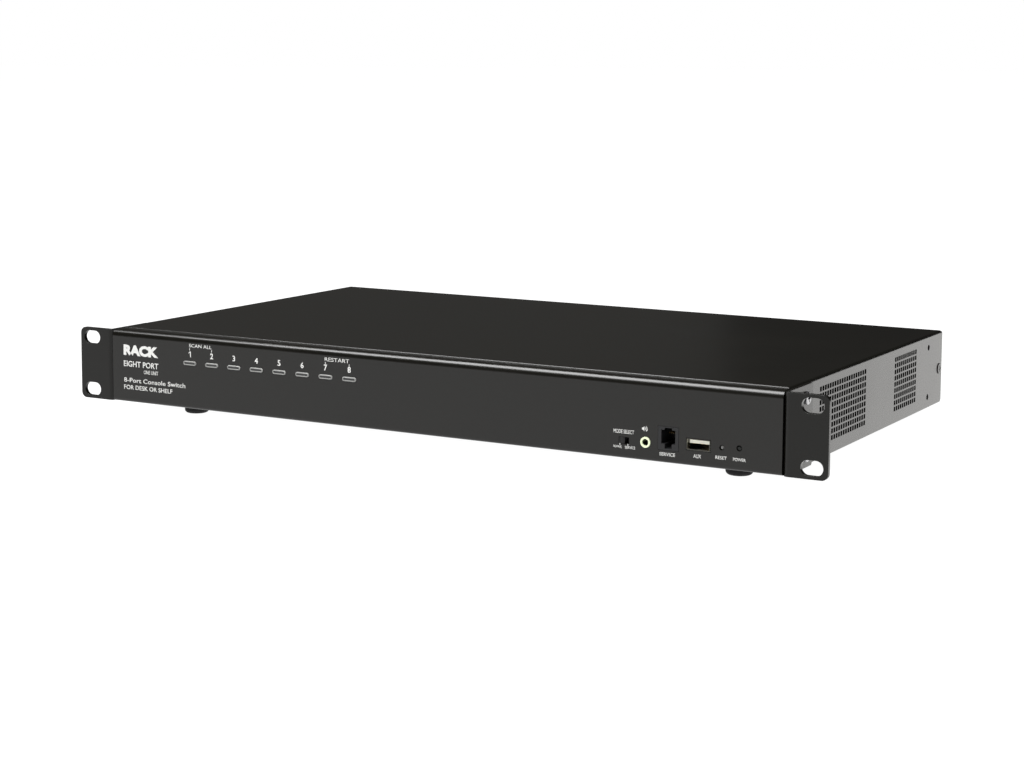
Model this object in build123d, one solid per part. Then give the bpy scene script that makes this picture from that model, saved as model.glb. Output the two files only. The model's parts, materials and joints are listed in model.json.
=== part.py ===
from build123d import *
import os

# An eight-port console switch for a 19 inch rack, one rack unit high.
# Millimetres, +Z up, -Y is the front. The origin is the bottom centre of the bounding box, under the feet.
# Helpers take distances back from the front face (y) and up from the underside of the case (z).

# ---- driving dimensions -------------------------------------------------------------------------------
CASE_WIDTH = 433.2
CASE_DEPTH = 258.0
CASE_HEIGHT = 44.0
FOOT_HEIGHT = 9.0
SHEET = 1.0                 # cover and rear panel
PANEL_SHEET = 1.5           # front panel
PAN_SHEET = 1.2             # base pan
GAP = 0.3                   # between neighbouring sheets
SEAM_DEPTH = 9.6            # front edge of the cover, back from the front face
PANEL_HEIGHT = 43.5         # the front panel stops just under the cover
PANEL_BEND = 4.0            # upper front bend, outside
COVER_BEND = 1.8            # long bends of the cover, outside
REAR_BEND = 2.3             # upper rear bend of the cover, outside
REAR_LIP = 3.2              # height of the cover's rear lip

RACK_WIDTH = 482.6          # over both ears
EAR_SHEET = 2.3
EAR_HEIGHT = 43.4
EAR_DROP = 0.1              # ears reach this far below the case
EAR_FLANGE = 35.5
EAR_BEND = 3.2
SLOT_SPACING_X = 465.1
SLOT_SPACING_Z = 31.75
SLOT_LENGTH = 12.2
SLOT_HEIGHT = 8.0

BUTTON_COUNT = 8
BUTTON_PITCH = 16.15
BUTTON_ROW_X = -101.65      # middle of the row
BUTTON_Z = 27.3
BUTTON_LENGTH = 9.25
BUTTON_HEIGHT = 2.5
BUTTON_PROUD = 0.5
BUTTON_TRAVEL = 0.5
BUTTON_RIM = 0.6            # round the recess in its face
BUTTON_RECESS = 0.6
BUTTON_END = 6.1            # inner ends of the stems, back from the front face
SWITCH_TIP = BUTTON_END + BUTTON_TRAVEL + 0.1
PLAY = 0.2                  # round a part that slides in a cut-out

VENT_PITCH = 3.6
VENT_HOLE = 2.65
VENT_ROWS = 9
VENT_MID_Z = 22.6
VENT_GROUPS = [(86.8, 20), (190.0, 11)]   # middle of each group back from the front, columns

EAR_SCREW_DEPTH = 26.0      # ear screws, back from the front; the same from the rear for the spare holes
EAR_SCREW_Z = (6.4, 36.4)
SIDE_HOLE_RADIUS = 1.8
FOOT_X = 179.4
FOOT_DEPTH = 33.5           # foot centres, in from the front and from the rear
FOOT_RADIUS = 7.4
FOOT_RECESS = 3.2           # radius of the recess and thickness of rubber above it
FOOT_HOLE_RADIUS = 1.5

SWITCH_X = 127.8            # firmware slide switch
SWITCH_Z = 9.5
SWITCH_SLOT = (6.0, 3.8)
SWITCH_TRAVEL = 2.6
AUDIO_X = 140.35
AUDIO_Z = 9.8
AUDIO_COLLAR_RADIUS = 2.85
AUDIO_BORE_RADIUS = 1.8
AUDIO_HOLE_RADIUS = 3.0      # in the sheet, round the collar
AUDIO_LENGTH = 14.0
MODULAR_X = 153.4
MODULAR_Z = 13.0
MODULAR_SIZE = (11.7, 12.4)
TYPE_A_X = 170.45
TYPE_A_Z = 11.3
RESET_X = 183.45
RESET_Z = 11.2
RESET_TRAVEL = 0.4
RESET_HOLE_RADIUS = 1.3
RESET_END = 4.2             # inner end of the plunger
LED_X = 193.2
LED_Z = 11.9
LED_RADIUS = 1.45
PORT_BOARD_TOP = 6.6        # front port board, top face

COMPUTER_PORTS = 8
PORT_PITCH = 32.0
FIRST_PORT_X = -32.0        # first computer port group, at the rear
VIDEO_OFFSET = -7.5         # video socket from the middle of its group
TYPE_B_OFFSET = 8.0
MAIN_BOARD_TOP = 7.8
VIDEO_SIZE = (15.0, 5.6)
TYPE_B_SIZE = (12.0, 10.8)
CONSOLE_VIDEO_X = -110.0
CONSOLE_TYPE_A_X = -91.0
CONSOLE_AUDIO_X = (-74.0, -62.0)
TONGUE = (0.45, 2.45)       # type A tongue, above the middle of its shell
INLET_X = -180.0
INLET_Z = 22.0
POWER_SWITCH_X = -140.0
ROCKER_TILT = 10.0
ROCKER_AXIS_DEPTH = CASE_DEPTH - 2.6
COVER_SCREW_DEPTH = CASE_DEPTH - 5.0
COVER_SCREW_Z = 21.0
COVER_SCREW_RADIUS = 1.3
REAR_PROUD = 2.9            # what stands furthest out of the rear panel

# ---- derived places -----------------------------------------------------------------------------------
FRONT_Y = BUTTON_PROUD - (BUTTON_PROUD + CASE_DEPTH + REAR_PROUD) / 2
SIDE_X = CASE_WIDTH / 2
REAR = CASE_DEPTH
PANEL_BACK = PANEL_SHEET + PLAY


def back(depth):
    """The Y of a point that lies this far behind the front face."""
    return FRONT_Y + depth


def up(height):
    """The Z of a point this far above the underside of the case."""
    return FOOT_HEIGHT + height


def block(x, y, z):
    """A box between pairs of limits: x as it is, y back from the front, z up from the case's underside."""
    size = (x[1] - x[0], y[1] - y[0], z[1] - z[0])
    middle = ((x[0] + x[1]) / 2, back((y[0] + y[1]) / 2), up((z[0] + z[1]) / 2))
    return Pos(*middle) * Box(*size)


def around(x, z, width, height, y):
    """A box of a width and height about a point of the front or rear view."""
    return block((x - width / 2, x + width / 2), y, (z - height / 2, z + height / 2))


def rod(x, z, radius, y):
    """A round bar along Y."""
    return Pos(x, back((y[0] + y[1]) / 2), up(z)) * Rot(90, 0, 0) * Cylinder(radius, y[1] - y[0])


def cross_rod(x, y, z, radius):
    """A round bar along X."""
    return Pos((x[0] + x[1]) / 2, back(y), up(z)) * Rot(0, 90, 0) * Cylinder(radius, x[1] - x[0])


def post(x, y, radius, z):
    """A round bar along Z."""
    return Pos(x, back(y), up((z[0] + z[1]) / 2)) * Cylinder(radius, z[1] - z[0])


def pill(x, z, length, height, y):
    """A bar along Y with an obround section, long way across."""
    section = Plane.XZ * SlotOverall(length, height)
    return Pos(x, back(y[1]), up(z)) * extrude(section, y[1] - y[0])


def mirrored(part):
    """The same piece on the other side of the case."""
    return mirror(part, about=Plane.YZ)


def pan_head(radius, height, shank_radius, shank_length):
    """A cross-recessed pan head screw along +X, its head's underside at the origin, its shank inwards."""
    head = Pos(height / 2, 0, 0) * Rot(0, 90, 0) * Cylinder(radius, height)
    head = fillet(head.edges().sort_by(Axis.X)[-1], height * 0.45)
    recess = Box(height, radius * 1.15, radius * 0.28) + Box(height, radius * 0.28, radius * 1.15)
    head -= Pos(height, 0, 0) * recess
    return head + Pos(-shank_length / 2, 0, 0) * Rot(0, 90, 0) * Cylinder(shank_radius, shank_length)


def save(name, *solids):
    """Write one node, as a single solid or a group of separate ones."""
    shape = solids[0] if len(solids) == 1 else Compound(children=list(solids))
    export_step(shape, f"parts/{name}.step")


def button_x(number):
    return BUTTON_ROW_X + (number - (BUTTON_COUNT + 1) / 2) * BUTTON_PITCH


def computer_port_x(number):
    return FIRST_PORT_X + (number - 1) * PORT_PITCH


# ---- case ---------------------------------------------------------------------------------------------
def front_panel():
    """Folded front panel: a face with a return on all four sides, and its cut-outs."""
    shell = block((-SIDE_X, SIDE_X), (0, SEAM_DEPTH - GAP), (0, PANEL_HEIGHT))
    long_edges = shell.edges().filter_by(Axis.X).group_by(Axis.Y)[0].sort_by(Axis.Z)
    shell = fillet(long_edges[1], PANEL_BEND)
    shell = fillet(shell.edges().filter_by(Axis.X).group_by(Axis.Y)[0].sort_by(Axis.Z)[0], 1.8)
    t = PANEL_SHEET
    hollow = block((t - SIDE_X, SIDE_X - t), (t, SEAM_DEPTH), (t, PANEL_HEIGHT - t))
    inner_edges = hollow.edges().filter_by(Axis.X).group_by(Axis.Y)[0].sort_by(Axis.Z)
    hollow = fillet(inner_edges[1], PANEL_BEND - t)
    panel = shell - hollow
    through = (-1, PANEL_SHEET + 1)
    for number in range(1, BUTTON_COUNT + 1):
        size = (BUTTON_LENGTH + 2 * PLAY, BUTTON_HEIGHT + 2 * PLAY)
        panel -= pill(button_x(number), BUTTON_Z, *size, through)
    panel -= around(SWITCH_X, SWITCH_Z, *SWITCH_SLOT, through)
    panel -= rod(AUDIO_X, AUDIO_Z, AUDIO_HOLE_RADIUS, through)
    panel -= around(MODULAR_X, MODULAR_Z, MODULAR_SIZE[0] + 0.3, MODULAR_SIZE[1] + 0.3, through)
    panel -= around(TYPE_A_X, TYPE_A_Z, 13.9, 6.5, through)
    panel -= rod(RESET_X, RESET_Z, RESET_HOLE_RADIUS, through)
    panel -= rod(LED_X, LED_Z, LED_RADIUS + 0.1, through)
    return panel


def vent_holes():
    """Cutters for the square perforations of both sides at once."""
    cutters = []
    for middle, columns in VENT_GROUPS:
        with BuildSketch(Plane.YZ) as grid:
            with Locations((back(middle), up(VENT_MID_Z))):
                with GridLocations(VENT_PITCH, VENT_PITCH, columns, VENT_ROWS):
                    Rectangle(VENT_HOLE, VENT_HOLE)
        cutters.append(extrude(grid.sketch, SIDE_X + 5, both=True))
    return cutters


def rear_corner(depth, height, radius):
    """What has to go from an upper rear corner, all along X, to round it."""
    corner = block((-SIDE_X - 1, SIDE_X + 1), (depth - radius, depth + 1), (height - radius, height + 1))
    return corner - cross_rod((-SIDE_X - 2, SIDE_X + 2), depth - radius, height - radius, radius)


def cover_sheet():
    """The bent sheet of the cover before it is punched: top, sides and a short lip down the rear."""
    outer = block((-SIDE_X, SIDE_X), (SEAM_DEPTH, REAR), (0, CASE_HEIGHT))
    outer = fillet(outer.edges().filter_by(Axis.Y).group_by(Axis.Z)[-1], COVER_BEND)
    outer -= rear_corner(REAR, CASE_HEIGHT, REAR_BEND)
    across = (SHEET - SIDE_X, SIDE_X - SHEET)
    inner = block(across, (SEAM_DEPTH - 1, REAR - SHEET), (-1, CASE_HEIGHT - SHEET))
    inner = fillet(inner.edges().filter_by(Axis.Y).group_by(Axis.Z)[-1], COVER_BEND - SHEET)
    inner -= rear_corner(REAR - SHEET, CASE_HEIGHT - SHEET, REAR_BEND - SHEET)
    return outer - inner - block(across, (REAR - SHEET - 1, REAR + 1), (-1, CASE_HEIGHT - REAR_LIP))


def top_cover():
    """Folded cover with its perforated sides and screw holes."""
    cover = cover_sheet()
    front_edge = cover.edges().filter_by(Axis.X).group_by(Axis.Y)[0].sort_by(Axis.Z)[-1]
    cover = fillet(front_edge, 0.8)
    rear_corners = cover.edges().filter_by(Axis.X).group_by(Axis.Y)[-1].group_by(Axis.Z)[0]
    cover = chamfer(rear_corners, 1.5)
    for cutter in vent_holes():
        cover -= cutter
    across = (-SIDE_X - 1, SIDE_X + 1)
    for depth in (EAR_SCREW_DEPTH, CASE_DEPTH - EAR_SCREW_DEPTH):
        for height in EAR_SCREW_Z:
            cover -= cross_rod(across, depth, height, SIDE_HOLE_RADIUS)
    return cover - cross_rod(across, COVER_SCREW_DEPTH, COVER_SCREW_Z, COVER_SCREW_RADIUS + GAP)


def base_pan():
    """Bottom sheet with four upright tabs that take the ear screws."""
    inside = SIDE_X - SHEET - 0.1
    pan = block((-inside, inside), (SEAM_DEPTH, REAR - SHEET - GAP), (0, PAN_SHEET))
    for side in (-1, 1):
        for depth in (EAR_SCREW_DEPTH, CASE_DEPTH - EAR_SCREW_DEPTH):
            wall = sorted((side * inside, side * (inside - PAN_SHEET)))
            tab = block(wall, (depth - 8, depth + 8), (0, CASE_HEIGHT - SHEET - 1.5))
            for height in EAR_SCREW_Z:
                tab -= cross_rod((wall[0] - 1, wall[1] + 1), depth, height, SIDE_HOLE_RADIUS)
            pan += tab
    for x, depth in foot_places():
        pan -= post(x, depth, FOOT_HOLE_RADIUS, (-1, PAN_SHEET + 1))
    return pan


def rear_cut_outs():
    """Everything that is cut through the rear panel."""
    through = (REAR - SHEET - 1, REAR + 1)
    cuts = []
    for number in range(1, COMPUTER_PORTS + 1):
        x = computer_port_x(number)
        cuts.append(around(x + VIDEO_OFFSET, video_z(), VIDEO_SIZE[0] + 0.4, VIDEO_SIZE[1] + 0.4, through))
        x += TYPE_B_OFFSET
        cuts.append(around(x, type_b_z(), TYPE_B_SIZE[0] + 0.4, TYPE_B_SIZE[1] + 0.4, through))
    cuts.append(around(CONSOLE_VIDEO_X, video_z(), VIDEO_SIZE[0] + 0.4, VIDEO_SIZE[1] + 0.4, through))
    cuts.append(around(CONSOLE_TYPE_A_X, MAIN_BOARD_TOP + 7.8, 14.8, 16.0, through))
    for x in CONSOLE_AUDIO_X:
        cuts.append(rod(x, MAIN_BOARD_TOP + 4.0, AUDIO_HOLE_RADIUS, through))
    cuts.append(around(INLET_X, INLET_Z, 28.0, 20.4, through))
    for side in (-1, 1):
        cuts.append(rod(INLET_X + side * 20.0, INLET_Z, 1.7, through))
    cuts.append(around(POWER_SWITCH_X, INLET_Z, 19.4, 13.2, through))
    return cuts


def video_z():
    return MAIN_BOARD_TOP + 0.6 + VIDEO_SIZE[1] / 2


def type_b_z():
    return MAIN_BOARD_TOP + 0.1 + TYPE_B_SIZE[1] / 2


def rear_panel():
    """Rear sheet with two side returns that the cover screws into."""
    inside = SIDE_X - SHEET - 0.1
    top = CASE_HEIGHT - REAR_LIP - GAP
    panel = block((-inside, inside), (REAR - SHEET, REAR), (0, top))
    for side in (-1, 1):
        wall = sorted((side * inside, side * (inside - SHEET)))
        panel += block(wall, (REAR - 12, REAR - SHEET), (PAN_SHEET + 0.2, top - 1.0))
    panel -= cross_rod((-SIDE_X, SIDE_X), COVER_SCREW_DEPTH, COVER_SCREW_Z, COVER_SCREW_RADIUS)
    for cut in rear_cut_outs():
        panel -= cut
    return panel


def rack_ear():
    """The +X ear: a flange along the side of the case, bent out into the slotted front plate."""
    low = -EAR_DROP
    high = EAR_HEIGHT - EAR_DROP
    flange = block((SIDE_X, SIDE_X + EAR_SHEET), (0, EAR_FLANGE), (low, high))
    plate = block((SIDE_X, RACK_WIDTH / 2), (0, EAR_SHEET), (low, high))
    ear = flange + plate
    upright = ear.edges().filter_by(Axis.Z)
    outer_bend = upright.filter_by(lambda e: e.center().X < SIDE_X + 0.1 and e.center().Y < FRONT_Y + 0.1)
    ear = fillet(outer_bend, EAR_BEND)
    bend_point = (SIDE_X + EAR_SHEET, back(EAR_SHEET), up(EAR_HEIGHT / 2))
    inner_bend = ear.edges().filter_by(Axis.Z).sort_by_distance(bend_point)[0]
    ear = fillet(inner_bend, EAR_BEND - EAR_SHEET)
    corners = ear.edges().filter_by(Axis.Y).group_by(Axis.X)[-1]
    ear = fillet(corners, 3.6)
    heel = ear.edges().filter_by(Axis.X).group_by(Axis.Y)[-1]
    ear = fillet(heel, 1.5)
    for side in (-1, 1):
        z = low + EAR_HEIGHT / 2 + side * SLOT_SPACING_Z / 2
        ear -= pill(SLOT_SPACING_X / 2, z, SLOT_LENGTH, SLOT_HEIGHT, (-1, EAR_SHEET + 1))
    for height in EAR_SCREW_Z:
        ear -= cross_rod((SIDE_X - 1, SIDE_X + EAR_SHEET + 1), EAR_SCREW_DEPTH, height, 1.7)
    return ear


def ear_screws():
    screw = pan_head(3.4, 1.6, 1.5, 5.5)
    right = [Pos(SIDE_X + EAR_SHEET, back(EAR_SCREW_DEPTH), up(z)) * screw for z in EAR_SCREW_Z]
    return right + [mirrored(s) for s in right]


def cover_screws():
    """One flat screw each side, near the rear edge, into the rear panel's returns."""
    screw = pan_head(3.2, 0.5, COVER_SCREW_RADIUS, 3.2)
    right = Pos(SIDE_X, back(COVER_SCREW_DEPTH), up(COVER_SCREW_Z)) * screw
    return [right, mirrored(right)]


def foot_places():
    return [(x, depth) for depth in (FOOT_DEPTH, CASE_DEPTH - FOOT_DEPTH) for x in (-FOOT_X, FOOT_X)]


def foot(x, depth):
    """Round rubber foot with a recess for its screw."""
    body = post(x, depth, FOOT_RADIUS, (-FOOT_HEIGHT, 0))
    body = fillet(body.edges().sort_by(Axis.Z)[0], 2.2)
    body -= post(x, depth, FOOT_RECESS, (-FOOT_HEIGHT, -FOOT_RECESS))
    return body - post(x, depth, FOOT_HOLE_RADIUS, (-FOOT_HEIGHT, 0))


def foot_screw(x, depth):
    screw = Rot(0, 90, 0) * pan_head(2.9, 1.8, 1.5, 5.4)
    return Pos(x, back(depth), up(-FOOT_RECESS)) * screw


# ---- front controls -----------------------------------------------------------------------------------
def port_button(number):
    """Push button: an obround cap with a recessed face, a retaining flange and a stem."""
    x = button_x(number)
    cap = pill(x, BUTTON_Z, BUTTON_LENGTH, BUTTON_HEIGHT, (-BUTTON_PROUD, PANEL_BACK))
    cap = fillet(cap.edges().group_by(Axis.Y)[0], 0.3)
    face = (BUTTON_LENGTH - 2 * BUTTON_RIM, BUTTON_HEIGHT - 2 * BUTTON_RIM)
    cap -= pill(x, BUTTON_Z, *face, (-BUTTON_PROUD - 1, BUTTON_RECESS - BUTTON_PROUD))
    flange = around(x, BUTTON_Z, 12.0, 5.0, (PANEL_BACK, PANEL_BACK + 1.0))
    return cap + flange + rod(x, BUTTON_Z, 1.6, (PANEL_BACK + 1.0, BUTTON_END))


def button_guide():
    """Moulded strip behind the panel that the button stems slide in."""
    length = BUTTON_COUNT * BUTTON_PITCH + 6
    guide = around(BUTTON_ROW_X, BUTTON_Z, length, 9.0, (3.6, 5.2))
    for number in range(1, BUTTON_COUNT + 1):
        guide -= rod(button_x(number), BUTTON_Z, 1.75, (3, 6))
    for end in (-1, 1):
        guide += rod(BUTTON_ROW_X + end * (length / 2 - 3), BUTTON_Z + 3.0, 1.5, (PANEL_SHEET, 3.6))
        guide += rod(BUTTON_ROW_X + end * (length / 2 - 3), BUTTON_Z + 3.0, 1.5, (5.2, 9.8))
    return guide


def button_board():
    return around(BUTTON_ROW_X, 24.0, 150.0, 30.0, (9.8, 11.4))


def tact_switches():
    """One small push switch behind each button, and one behind the reset plunger."""
    switches = []
    for number in range(1, BUTTON_COUNT + 1):
        body = around(button_x(number), BUTTON_Z, 6.0, 6.0, (7.2, 9.8))
        switches.append(body + rod(button_x(number), BUTTON_Z, 1.7, (SWITCH_TIP, 7.2)))
    reset = around(RESET_X, PORT_BOARD_TOP + 3.6, 6.0, 7.2, (RESET_END + RESET_TRAVEL + PLAY, 8.6))
    return switches + [reset]


def port_leds():
    return [around(button_x(n), BUTTON_Z + 6.0, 3.0, 1.6, (8.7, 9.8)) for n in range(1, BUTTON_COUNT + 1)]


def reset_button():
    """Recessed plunger behind the pinhole."""
    plunger = rod(RESET_X, RESET_Z, 0.75, (0.9, 3.2))
    return plunger + rod(RESET_X, RESET_Z, 1.6, (3.2, RESET_END))


def power_lamp():
    lens = rod(LED_X, LED_Z, LED_RADIUS, (0.25, 4.0))
    lens = fillet(lens.edges().sort_by(Axis.Y)[0], 0.8)
    return lens + rod(LED_X, LED_Z, 1.9, (4.0, 8.0))


def lamp_holder():
    holder = around(LED_X, (PORT_BOARD_TOP + LED_Z + 2.4) / 2, 5.4, LED_Z + 2.4 - PORT_BOARD_TOP, (4.4, 9.5))
    return holder - rod(LED_X, LED_Z, 1.9, (4, 8.0))


def mode_switch_body():
    """Slide switch housing on the port board, open to the front."""
    shell = block((SWITCH_X - 4.4, SWITCH_X + 4.4), (PANEL_BACK, 6.2), (PORT_BOARD_TOP, 12.4))
    return shell - around(SWITCH_X, SWITCH_Z, 6.4, 4.2, (1, 4.6))


def mode_switch_knob():
    width = SWITCH_SLOT[0] - SWITCH_TRAVEL - 2 * PLAY
    x = SWITCH_X - SWITCH_TRAVEL / 2
    knob = around(x, SWITCH_Z, width, SWITCH_SLOT[1] - 2 * PLAY, (0.3, 4.4))
    for offset in (-0.9, 0, 0.9):
        knob -= around(x + offset, SWITCH_Z, 0.35, SWITCH_SLOT[1], (0.2, 0.6))
    return knob


def audio_socket(x, z, front, board_top):
    """A 3.5 mm socket: its moulded body and the collar that shows."""
    inward = 1 if front < CASE_DEPTH / 2 else -1
    mouth = (front, front + inward * 3.2)
    body_span = (front + inward * 3.2, front + inward * AUDIO_LENGTH)
    bore = rod(x, z, AUDIO_BORE_RADIUS, sorted((front - inward, front + inward * (AUDIO_LENGTH - 1.5))))
    collar = rod(x, z, AUDIO_COLLAR_RADIUS, sorted(mouth)) - bore
    body = block((x - 3.2, x + 3.2), sorted(body_span), (board_top, 2 * z - board_top)) - bore
    return collar, body


def modular_jack():
    """Keyed modular socket: a stepped cavity with a latch channel below."""
    w, h = MODULAR_SIZE
    front = -0.1
    body = around(MODULAR_X, MODULAR_Z, w, h, (front, 16.0))
    top = MODULAR_Z + h / 2
    mouth = (front - 1, 13.5)
    body -= block((MODULAR_X - 4.0, MODULAR_X + 4.0), mouth, (top - 9.1, top - 1.7))
    body -= block((MODULAR_X - 2.0, MODULAR_X + 2.0), mouth, (top - 11.6, top - 9.1))
    return body - block((MODULAR_X - 2.1, MODULAR_X + 2.1), mouth, (top - 1.7, top - 0.6))


def modular_contacts():
    """Four spring wires that slope down and back from the roof of the cavity."""
    top = MODULAR_Z + MODULAR_SIZE[1] / 2 - 1.7
    wires = []
    for index in range(4):
        x = MODULAR_X + (index - 1.5) * 1.1
        wires.append(Pos(x, back(9.0), up(top - 1.3)) * Rot(14, 0, 0) * Box(0.4, 8.0, 0.4))
    return wires


def type_a_shell(x, z, face, outward):
    """Drawn metal shell of a type A socket, open at its mouth."""
    y = sorted((face, face - outward * 13.0))
    outer = around(x, z, 13.2, 5.8, y)
    outer = fillet(outer.edges().filter_by(Axis.Y), 0.4)
    inner = sorted((face + outward, face - outward * 12.6))
    return outer - around(x, z, 12.5, 5.1, inner)


def type_a_tongue(x, z, face, outward):
    y = sorted((face - outward * 1.6, face - outward * 12.6))
    tongue = block((x - 5.6, x + 5.6), y, (z + TONGUE[0], z + TONGUE[1]))
    return chamfer(tongue.edges().filter_by(Axis.X).group_by(Axis.Y)[0 if outward < 0 else -1], 0.3)


def type_a_contacts(x, z, face, outward):
    y = sorted((face - outward * 2.4, face - outward * 10.0))
    return [around(x + (i - 1.5) * 2.3, z + TONGUE[0] - 0.1, 1.1, 0.2, y) for i in range(4)]


def type_a_base():
    """Moulded carrier between the front socket and the port board."""
    return block((TYPE_A_X - 6.0, TYPE_A_X + 6.0), (3.0, 12.0), (PORT_BOARD_TOP, TYPE_A_Z - 2.9))


def front_port_board():
    return block((118.0, 205.0), (3.0, 42.0), (PORT_BOARD_TOP - 1.6, PORT_BOARD_TOP))


# ---- rear connectors ----------------------------------------------------------------------------------
def video_shell(x):
    """Metal shell of a flat digital video socket, narrower towards its lower edge."""
    z = video_z()
    half = VIDEO_SIZE[1] / 2
    y = (REAR - 11.0, REAR + 0.6)
    outer = around(x, z, *VIDEO_SIZE, y)
    outer = chamfer(outer.edges().filter_by(Axis.Y).group_by(Axis.Z)[0], 2.0)
    inner = block((x - 7.1, x + 7.1), (y[0] + 0.5, y[1] + 1), (z - half + 0.4, z + half - 0.4))
    return outer - chamfer(inner.edges().filter_by(Axis.Y).group_by(Axis.Z)[0], 1.8)


def video_tongue(x):
    return around(x, video_z() + 0.5, 11.0, 1.0, (REAR - 10.5, REAR - 0.8))


def type_b_shell(x):
    """Square metal shell of a type B socket."""
    y = (REAR - 15.0, REAR + 0.8)
    outer = around(x, type_b_z(), *TYPE_B_SIZE, y)
    inner = around(x, type_b_z(), TYPE_B_SIZE[0] - 3.4, TYPE_B_SIZE[1] - 3.0, (y[0] + 0.5, y[1] + 1))
    inner = chamfer(inner.edges().filter_by(Axis.Y).group_by(Axis.Z)[-1], 1.6)
    return outer - inner


def type_b_tongue(x):
    return around(x, type_b_z() - 0.1, 5.6, 3.2, (REAR - 14.5, REAR - 0.6))


def console_type_a_shells():
    z = MAIN_BOARD_TOP + 7.8
    return [type_a_shell(CONSOLE_TYPE_A_X, z + step, REAR + 0.6, 1) for step in (-4.2, 4.2)]


def power_inlet():
    """Three-pin appliance inlet: flange, body and a keyed cavity."""
    body = around(INLET_X, INLET_Z, 27.4, 19.8, (REAR - 19.0, REAR))
    flange = around(INLET_X, INLET_Z, 50.0, 22.4, (REAR, REAR + 2.0))
    flange = fillet(flange.edges().filter_by(Axis.Y), 6.0)
    cavity = around(INLET_X, INLET_Z, 24.4, 16.4, (REAR - 15.0, REAR + 3))
    cavity = chamfer(cavity.edges().filter_by(Axis.Y).group_by(Axis.Z)[-1], 4.2)
    inlet = body + flange - cavity
    for side in (-1, 1):
        inlet -= rod(INLET_X + side * 20.0, INLET_Z, 1.7, (REAR - 1, REAR + 3))
    return inlet


def inlet_pins():
    places = [(0, 2.0), (-7.0, -2.0), (7.0, -2.0)]
    return [around(INLET_X + dx, INLET_Z + dz, 2.0, 4.0, (REAR - 15.0, REAR - 3.2)) for dx, dz in places]


def inlet_screws():
    screw = Rot(0, 0, 90) * pan_head(2.6, 0.9, 1.5, 6.0)
    return [Pos(INLET_X + side * 20.0, back(REAR + 2.0), up(INLET_Z)) * screw for side in (-1, 1)]


def power_switch_frame():
    body = around(POWER_SWITCH_X, INLET_Z, 19.0, 12.8, (REAR - 13.0, REAR))
    bezel = around(POWER_SWITCH_X, INLET_Z, 21.2, 15.0, (REAR, REAR + 1.6))
    bezel = fillet(bezel.edges().group_by(Axis.Y)[-1], 0.5)
    return body + bezel - around(POWER_SWITCH_X, INLET_Z, 17.0, 10.8, (REAR - 7.6, REAR + 3))


def power_rocker():
    """Rocker on a horizontal axis across its short side, stored with its off end pressed in."""
    radius = 16.0
    width = 10.4
    half = 8.1
    reach = (ROCKER_AXIS_DEPTH - 3.0, ROCKER_AXIS_DEPTH + 4.2)
    cap = around(POWER_SWITCH_X, INLET_Z, 2 * half, width, reach)
    dish = post(POWER_SWITCH_X, reach[1] + radius - 1.3, radius, (INLET_Z - width, INLET_Z + width))
    ends = post(POWER_SWITCH_X, ROCKER_AXIS_DEPTH, half + 0.05, (INLET_Z - width, INLET_Z + width))
    cap = (cap & ends) - dish
    pivot = (POWER_SWITCH_X, back(ROCKER_AXIS_DEPTH), up(INLET_Z))
    return cap.rotate(Axis(pivot, (0, 0, 1)), -ROCKER_TILT)


# ---- boards and what they carry -----------------------------------------------------------------------
def main_board():
    board = block((-125.0, 210.0), (120.0, REAR - 1.6), (MAIN_BOARD_TOP - 1.6, MAIN_BOARD_TOP))
    for x, depth in board_screw_places():
        board -= post(x, depth, 1.6, (0, MAIN_BOARD_TOP + 1))
    return board


def board_screw_places():
    return [(x, depth) for x in (-119.0, 42.5, 204.0) for depth in (126.0, REAR - 20.0)]


def board_posts():
    under = (PAN_SHEET, MAIN_BOARD_TOP - 1.6)
    posts = [post(x, depth, 2.6, under) for x, depth in board_screw_places()]
    front_under = (PAN_SHEET, PORT_BOARD_TOP - 1.6)
    return posts + [post(x, depth, 2.2, front_under) for x in (122.0, 201.0) for depth in (14.0, 38.0)]


def board_screws():
    screw = Rot(0, -90, 0) * pan_head(2.6, 1.6, 1.4, 1.6)
    return [Pos(x, back(depth), up(MAIN_BOARD_TOP)) * screw for x, depth in board_screw_places()]


def board_chips():
    chips = []
    for column in range(4):
        x = -70.0 + column * 80.0
        chips.append(block((x - 9, x + 9), (168, 186), (MAIN_BOARD_TOP, MAIN_BOARD_TOP + 1.4)))
        chips.append(block((x + 16, x + 28), (150, 160), (MAIN_BOARD_TOP, MAIN_BOARD_TOP + 1.2)))
    return chips


def heat_sink(x):
    """Finned aluminium block on one of the larger chips."""
    base = MAIN_BOARD_TOP + 1.4
    sink = block((x - 9, x + 9), (168, 186), (base, base + 2.0))
    for index in range(5):
        depth = 168.4 + index * 4.1
        sink += block((x - 9, x + 9), (depth, depth + 0.9), (base + 2.0, base + 9.0))
    return sink


def board_capacitors():
    places = [(x, depth) for x in (-110.0, -20.0, 110.0, 195.0) for depth in (132.0, 141.0)]
    return [post(x, depth, 3.2, (MAIN_BOARD_TOP, MAIN_BOARD_TOP + 11.0)) for x, depth in places]


def supply_board():
    return block((-206.0, -134.0), (110.0, 226.0), (7.4, 9.0))


def supply_posts():
    places = [(x, depth) for x in (-201.0, -139.0) for depth in (115.0, 221.0)]
    return [post(x, depth, 2.6, (PAN_SHEET, 7.4)) for x, depth in places]


def supply_transformer():
    core = block((-184.0, -156.0), (158.0, 184.0), (9.0, 31.0))
    return core - block((-177.0, -163.0), (157.0, 185.0), (16.0, 26.0))


def transformer_winding():
    winding = block((-177.0, -163.0), (155.5, 186.5), (16.0, 26.0))
    return fillet(winding.edges().filter_by(Axis.X), 4.0)


def supply_capacitors():
    bulk = post(-170.0, 205.0, 9.0, (9.0, 36.0))
    small = [post(-197.0 + 12.0 * index, 122.0, 4.0, (9.0, 24.0)) for index in range(4)]
    return [bulk] + small


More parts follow.
